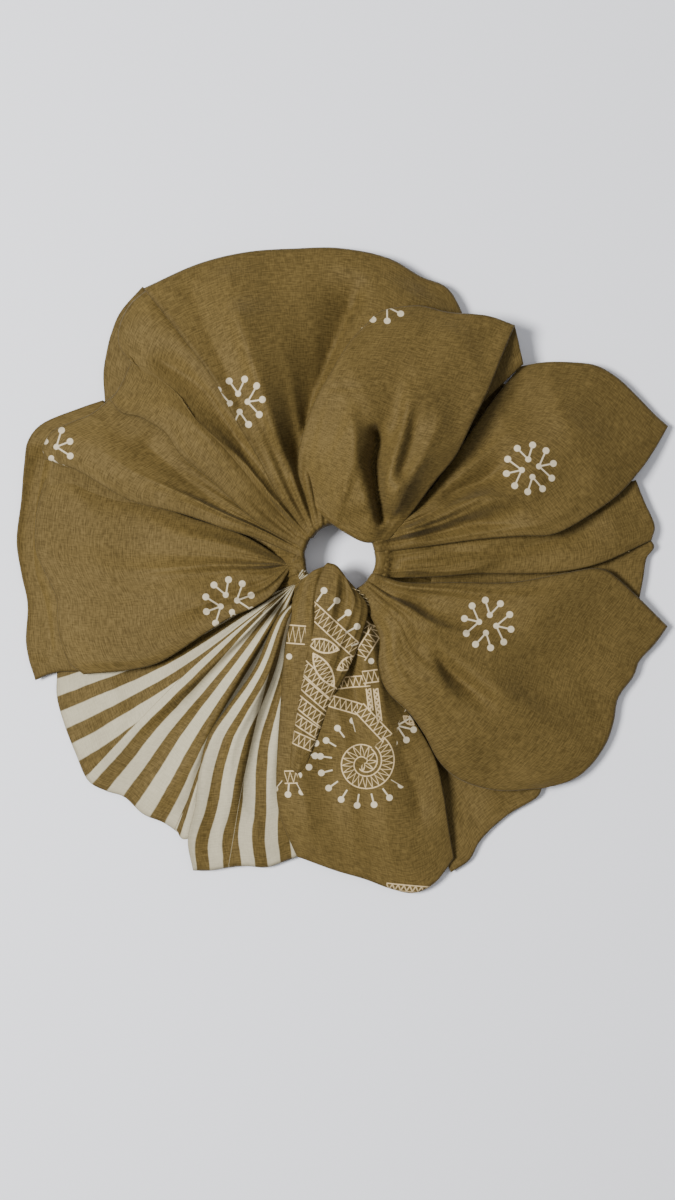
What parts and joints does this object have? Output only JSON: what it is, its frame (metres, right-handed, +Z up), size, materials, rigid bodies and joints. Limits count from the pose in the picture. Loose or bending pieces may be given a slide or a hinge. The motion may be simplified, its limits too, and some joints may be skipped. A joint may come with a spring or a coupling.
{
  "type": "scrunchie",
  "caption": "Oversized gathered hair scrunchie: a wide printed cloth tube drawn up on an elastic band, with folds that spread as the band stretches.",
  "frame": {"origin": "centre of the opening, on the surface that the scrunchie lies on, which is also the middle of its outline", "axes": "+Z up along the opening's axis; +X to the right and +Y away from the user with the closing seam towards +X and -Y"},
  "size_m": [0.21, 0.2109, 0.03],
  "materials": {
    "printed_cloth": "soft matte crepe in olive brown, printed with cream bursts, stripes and a scroll border",
    "elastic": "braided cotton-covered elastic, off-white",
    "thread": "spun polyester sewing thread, olive brown"
  },
  "bodies": {
    "fold_01": {"cover_fold_01": "printed_cloth", "elastic_band_01": "elastic", "tube_seam_stitches_01": "thread"},
    "fold_02": {"cover_fold_02": "printed_cloth", "elastic_band_02": "elastic", "tube_seam_stitches_02": "thread"},
    "fold_03": {"cover_fold_03": "printed_cloth", "elastic_band_03": "elastic", "tube_seam_stitches_03": "thread"},
    "fold_04": {"cover_fold_04": "printed_cloth", "elastic_band_04": "elastic", "tube_seam_stitches_04": "thread"},
    "fold_05": {"cover_fold_05": "printed_cloth", "elastic_band_05": "elastic", "tube_seam_stitches_05": "thread"},
    "fold_06": {"cover_fold_06": "printed_cloth", "elastic_band_06": "elastic", "tube_seam_stitches_06": "thread"},
    "fold_07": {"cover_fold_07": "printed_cloth", "elastic_band_07": "elastic", "tube_seam_stitches_07": "thread", "closing_seam_stitches": "thread"},
    "fold_08": {"cover_fold_08": "printed_cloth", "elastic_band_08": "elastic", "tube_seam_stitches_08": "thread"},
    "fold_09": {"cover_fold_09": "printed_cloth", "elastic_band_09": "elastic", "tube_seam_stitches_09": "thread"},
    "fold_10": {"cover_fold_10": "printed_cloth", "elastic_band_10": "elastic", "tube_seam_stitches_10": "thread"},
    "fold_11": {"cover_fold_11": "printed_cloth", "elastic_band_11": "elastic", "tube_seam_stitches_11": "thread"},
    "fold_12": {"cover_fold_12": "printed_cloth", "elastic_band_12": "elastic", "tube_seam_stitches_12": "thread"},
    "tucked_end": {"tucked_tube_end": "printed_cloth", "elastic_lapped_end": "elastic", "elastic_zigzag_stitches": "thread"}
  },
  "joints": [
    {"name": "band_stretch", "type": "slide", "parent": "fold_01", "child": "fold_02", "axis": [0.9397, 0.342, 0], "range_m": [0, 0.0095], "stiffness_N_per_m": 60},
    {"name": "band_stretch_02_03", "type": "slide", "parent": "fold_02", "child": "fold_03", "axis": [0.9848, -0.1736, 0], "range_m": [0, 0.0095]},
    {"name": "band_stretch_03_04", "type": "slide", "parent": "fold_03", "child": "fold_04", "axis": [0.766, -0.6428, 0], "range_m": [0, 0.0095]},
    {"name": "band_stretch_04_05", "type": "slide", "parent": "fold_04", "child": "fold_05", "axis": [0.342, -0.9397, 0], "range_m": [0, 0.0095]},
    {"name": "band_stretch_05_06", "type": "slide", "parent": "fold_05", "child": "fold_06", "axis": [-0.1736, -0.9848, 0], "range_m": [0, 0.0095]},
    {"name": "band_stretch_06_07", "type": "slide", "parent": "fold_06", "child": "fold_07", "axis": [-0.6428, -0.766, 0], "range_m": [0, 0.0095]},
    {"name": "band_stretch_01_12", "type": "slide", "parent": "fold_01", "child": "fold_12", "axis": [-0.6428, -0.766, 0], "range_m": [0, 0.0095]},
    {"name": "band_stretch_12_11", "type": "slide", "parent": "fold_12", "child": "fold_11", "axis": [-0.1736, -0.9848, 0], "range_m": [0, 0.0095]},
    {"name": "band_stretch_11_10", "type": "slide", "parent": "fold_11", "child": "fold_10", "axis": [0.342, -0.9397, 0], "range_m": [0, 0.0095]},
    {"name": "band_stretch_10_09", "type": "slide", "parent": "fold_10", "child": "fold_09", "axis": [0.766, -0.6428, 0], "range_m": [0, 0.0095]},
    {"name": "band_stretch_09_08", "type": "slide", "parent": "fold_09", "child": "fold_08", "axis": [0.9848, -0.1736, 0], "range_m": [0, 0.0095]},
    {"name": "band_stretch_08_end", "type": "slide", "parent": "fold_08", "child": "tucked_end", "axis": [0.9397, 0.342, 0], "range_m": [0, 0.0095]}
  ],
  "couplings": [
    {"joint": "band_stretch_02_03", "follows": "band_stretch", "ratio": 1},
    {"joint": "band_stretch_03_04", "follows": "band_stretch", "ratio": 1},
    {"joint": "band_stretch_04_05", "follows": "band_stretch", "ratio": 1},
    {"joint": "band_stretch_05_06", "follows": "band_stretch", "ratio": 1},
    {"joint": "band_stretch_06_07", "follows": "band_stretch", "ratio": 1},
    {"joint": "band_stretch_01_12", "follows": "band_stretch", "ratio": 1},
    {"joint": "band_stretch_12_11", "follows": "band_stretch", "ratio": 1},
    {"joint": "band_stretch_11_10", "follows": "band_stretch", "ratio": 1},
    {"joint": "band_stretch_10_09", "follows": "band_stretch", "ratio": 1},
    {"joint": "band_stretch_09_08", "follows": "band_stretch", "ratio": 1},
    {"joint": "band_stretch_08_end", "follows": "band_stretch", "ratio": 1}
  ]
}
